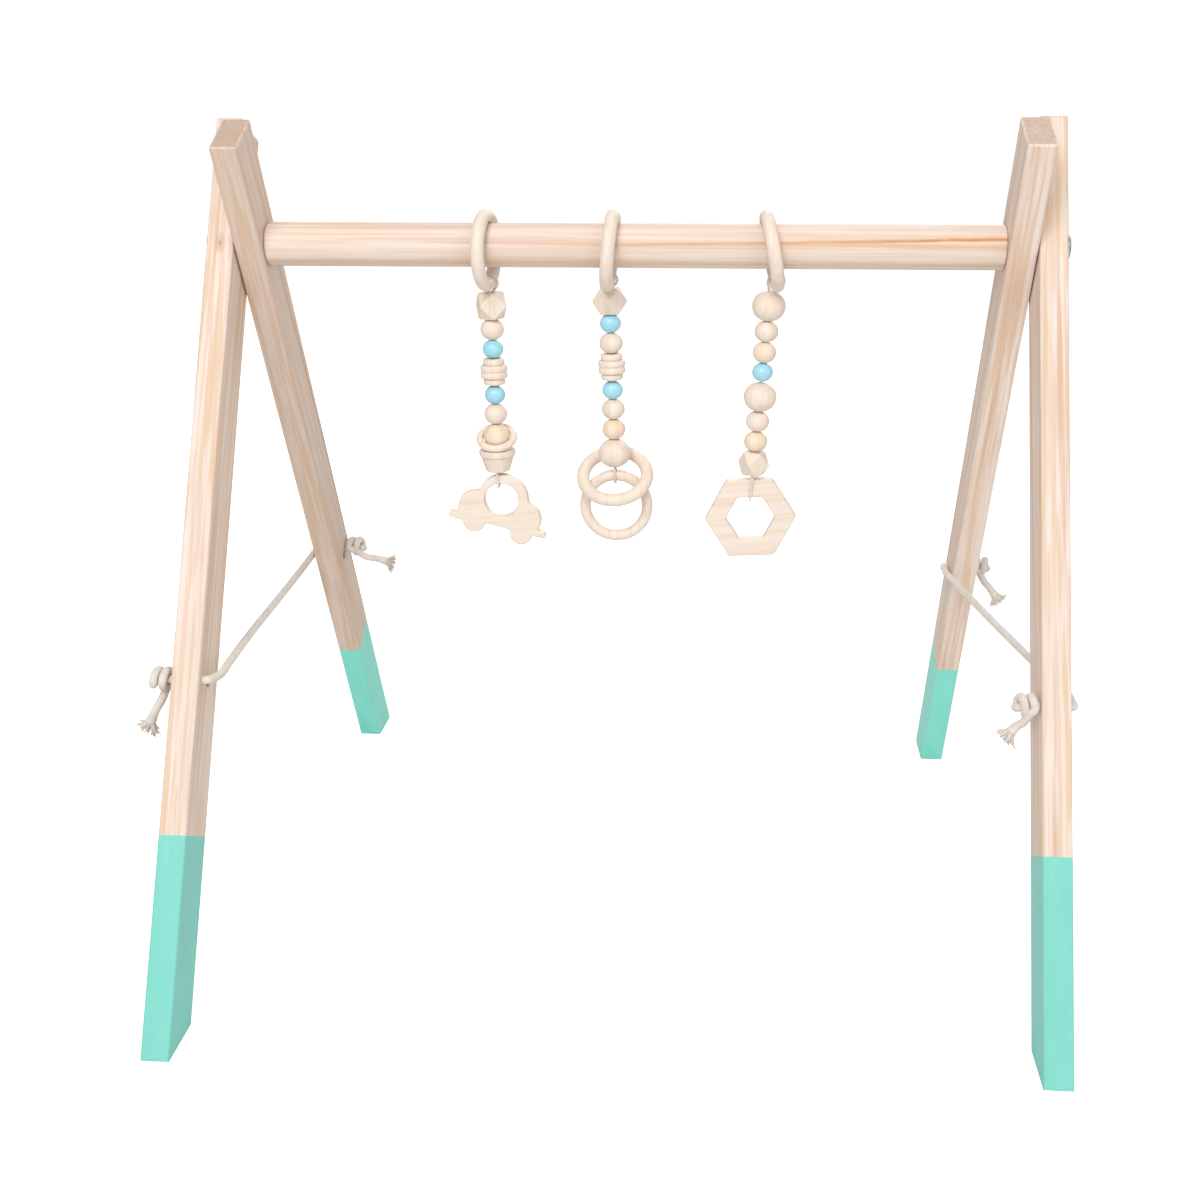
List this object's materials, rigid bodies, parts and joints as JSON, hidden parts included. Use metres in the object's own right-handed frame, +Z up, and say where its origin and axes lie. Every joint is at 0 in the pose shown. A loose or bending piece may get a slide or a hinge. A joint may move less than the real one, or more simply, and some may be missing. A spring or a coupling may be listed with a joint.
{
  "type": "activity play gym",
  "caption": "Folding wooden play gym: a round bar on two scissor side frames with rope stays, and strings of beads hung on rings",
  "frame": {"origin": "on the floor, below the middle of the bar's length and below its centre line; the box of the whole part is centred 4.5 mm to the left of it, because its ends are the loose tails of the two ropes", "axes": "+X along the bar to the right seen from the front, +Y from the front to the back, +Z up"},
  "size_m": [0.6689, 0.578, 0.603],
  "materials": {
    "pine": "smooth planed pine with a fine straight grain, left clear",
    "leg": "smooth planed pine, its foot end painted satin mint green",
    "beech": "fine sanded pale beech",
    "warm_wood": "fine sanded beech of a warmer tone",
    "blue": "wood painted satin light blue",
    "rope": "soft twisted cotton rope with frayed ends",
    "cord": "thin twisted cotton cord",
    "steel": "bright zinc plated steel",
    "brass": "plain machined brass"
  },
  "bodies": {
    "bar": {"bar": "pine", "left_insert": "brass", "right_insert": "brass", "left_bolt": "steel", "right_bolt": "steel", "left_spacer": "steel", "right_spacer": "steel", "left_head_washer": "steel", "right_head_washer": "steel"},
    "left_rear_leg": {"left_rear_leg": "leg"},
    "left_front_leg": {"left_front_leg": "leg", "left_rope": "rope"},
    "right_rear_leg": {"right_rear_leg": "leg"},
    "right_front_leg": {"right_front_leg": "leg", "right_rope": "rope"},
    "car_string_ring_body": {"car_string_ring": "beech"},
    "car_string_upper": {"car_string_top_loop": "cord", "car_string_upper_cord": "cord", "car_string_facet_bead": "warm_wood", "car_string_upper_small_bead": "beech", "car_string_upper_blue_bead": "blue", "car_string_ribbed_bead": "beech"},
    "car_string_lower": {"car_string_lower_cord": "cord", "car_string_lower_blue_bead": "blue", "car_string_lower_small_bead": "beech", "car_string_nested_bead": "warm_wood", "car_string_cup": "beech"},
    "small_ring": {"car_string_small_ring": "beech"},
    "car": {"car_string_car_loop": "cord", "car_string_car": "beech"},
    "ring_string_ring_body": {"ring_string_ring": "beech"},
    "ring_string_upper": {"ring_string_top_loop": "cord", "ring_string_upper_cord": "cord", "ring_string_facet_bead": "warm_wood", "ring_string_upper_blue_bead": "blue", "ring_string_upper_small_bead": "beech", "ring_string_ribbed_bead": "beech"},
    "ring_string_lower": {"ring_string_lower_cord": "cord", "ring_string_lower_blue_bead": "blue", "ring_string_lower_small_bead": "beech", "ring_string_warm_bead": "warm_wood", "ring_string_large_bead": "beech"},
    "loose_ring": {"ring_string_loose_ring": "beech"},
    "hanging_ring": {"ring_string_hanging_ring": "beech"},
    "hexagon_string_ring_body": {"hexagon_string_ring": "beech"},
    "hexagon_string_upper": {"hexagon_string_top_loop": "cord", "hexagon_string_upper_cord": "cord", "hexagon_string_upper_large_bead": "beech", "hexagon_string_upper_small_bead": "beech", "hexagon_string_upper_warm_bead": "warm_wood", "hexagon_string_blue_bead": "blue"},
    "hexagon_string_lower": {"hexagon_string_lower_cord": "cord", "hexagon_string_lower_large_bead": "beech", "hexagon_string_lower_small_bead": "beech", "hexagon_string_lower_warm_bead": "warm_wood", "hexagon_string_facet_bead": "warm_wood"},
    "hexagon": {"hexagon_string_hexagon_loop": "cord", "hexagon_string_hexagon": "beech"}
  },
  "joints": [
    {"name": "left_rear_swing", "type": "hinge", "parent": "bar", "child": "left_rear_leg", "pos_m": [-0.2801, 0, 0.513], "axis": [1, 0, 0], "range_deg": [-27.5, 0], "deforming": ["left_rope"]},
    {"name": "left_fold", "type": "hinge", "parent": "left_rear_leg", "child": "left_front_leg", "pos_m": [-0.2905, 0, 0.513], "axis": [1, 0, 0], "range_deg": [0, 55], "deforming": ["left_rope"]},
    {"name": "right_rear_swing", "type": "hinge", "parent": "bar", "child": "right_rear_leg", "pos_m": [0.2801, 0, 0.513], "axis": [1, 0, 0], "range_deg": [-26, 0], "deforming": ["right_rope"]},
    {"name": "right_fold", "type": "hinge", "parent": "right_rear_leg", "child": "right_front_leg", "pos_m": [0.2905, 0, 0.513], "axis": [1, 0, 0], "range_deg": [0, 52], "deforming": ["right_rope"]},
    {"name": "car_string_slide", "type": "slide", "parent": "bar", "child": "car_string_ring_body", "axis": [1, 0, 0], "range_m": [-0.1, 0.01]},
    {"name": "car_string_swing", "type": "hinge", "parent": "car_string_ring_body", "child": "car_string_upper", "pos_m": [-0.1064, 0, 0.50915], "axis": [0.9945, -0.1045, 0], "range_deg": [-40, 40]},
    {"name": "car_string_bend", "type": "hinge", "parent": "car_string_upper", "child": "car_string_lower", "pos_m": [-0.10434, 0.00895, 0.40683], "axis": [0, -1, 0], "range_deg": [-20, 6]},
    {"name": "ring_string_slide", "type": "slide", "parent": "bar", "child": "ring_string_ring_body", "axis": [1, 0, 0], "range_m": [-0.01, 0.018]},
    {"name": "ring_string_swing", "type": "hinge", "parent": "ring_string_ring_body", "child": "ring_string_upper", "pos_m": [-0.0143, 0, 0.50924], "axis": [0.9962, 0, -0.0872], "range_deg": [-40, 40]},
    {"name": "ring_string_bend", "type": "hinge", "parent": "ring_string_upper", "child": "ring_string_lower", "pos_m": [-0.01413, 0.01533, 0.41042], "axis": [0, -1, 0], "range_deg": [-6, 15]},
    {"name": "hexagon_string_slide", "type": "slide", "parent": "bar", "child": "hexagon_string_ring_body", "axis": [1, 0, 0], "range_m": [-0.018, 0.1]},
    {"name": "hexagon_string_swing", "type": "hinge", "parent": "hexagon_string_ring_body", "child": "hexagon_string_upper", "pos_m": [0.1042, 0, 0.50957], "axis": [0.9819, 0.0515, 0.1822], "range_deg": [-40, 40]},
    {"name": "hexagon_string_bend", "type": "hinge", "parent": "hexagon_string_upper", "child": "hexagon_string_lower", "pos_m": [0.0996, 0.01171, 0.41115], "axis": [0, -1, 0], "range_deg": [-15, 20]},
    {"name": "car_turn", "type": "hinge", "parent": "car_string_lower", "child": "car", "pos_m": [-0.10328, 0.00895, 0.3387], "axis": [-0.0157, 0, 0.9999], "continuous": true},
    {"name": "small_ring_turn", "type": "hinge", "parent": "car_string_lower", "child": "small_ring", "pos_m": [-0.1037, 0.00895, 0.3655], "axis": [-0.0157, 0, 0.9999], "continuous": true},
    {"name": "hanging_ring_swing", "type": "hinge", "parent": "ring_string_lower", "child": "hanging_ring", "pos_m": [-0.01191, 0.01533, 0.3354], "axis": [0.9996, 0, 0.0297], "range_deg": [0, 40]},
    {"name": "loose_ring_lift", "type": "slide", "parent": "ring_string_lower", "child": "loose_ring", "axis": [-0.0297, 0, 0.9996], "range_m": [0, 0.05]},
    {"name": "hexagon_turn", "type": "hinge", "parent": "hexagon_string_lower", "child": "hexagon", "pos_m": [0.09476, 0.01171, 0.33839], "axis": [0.0663, 0, 0.9978], "continuous": true}
  ],
  "couplings": [
    {"joint": "left_rear_swing", "follows": "left_fold", "ratio": -0.5},
    {"joint": "right_rear_swing", "follows": "right_fold", "ratio": -0.5}
  ]
}
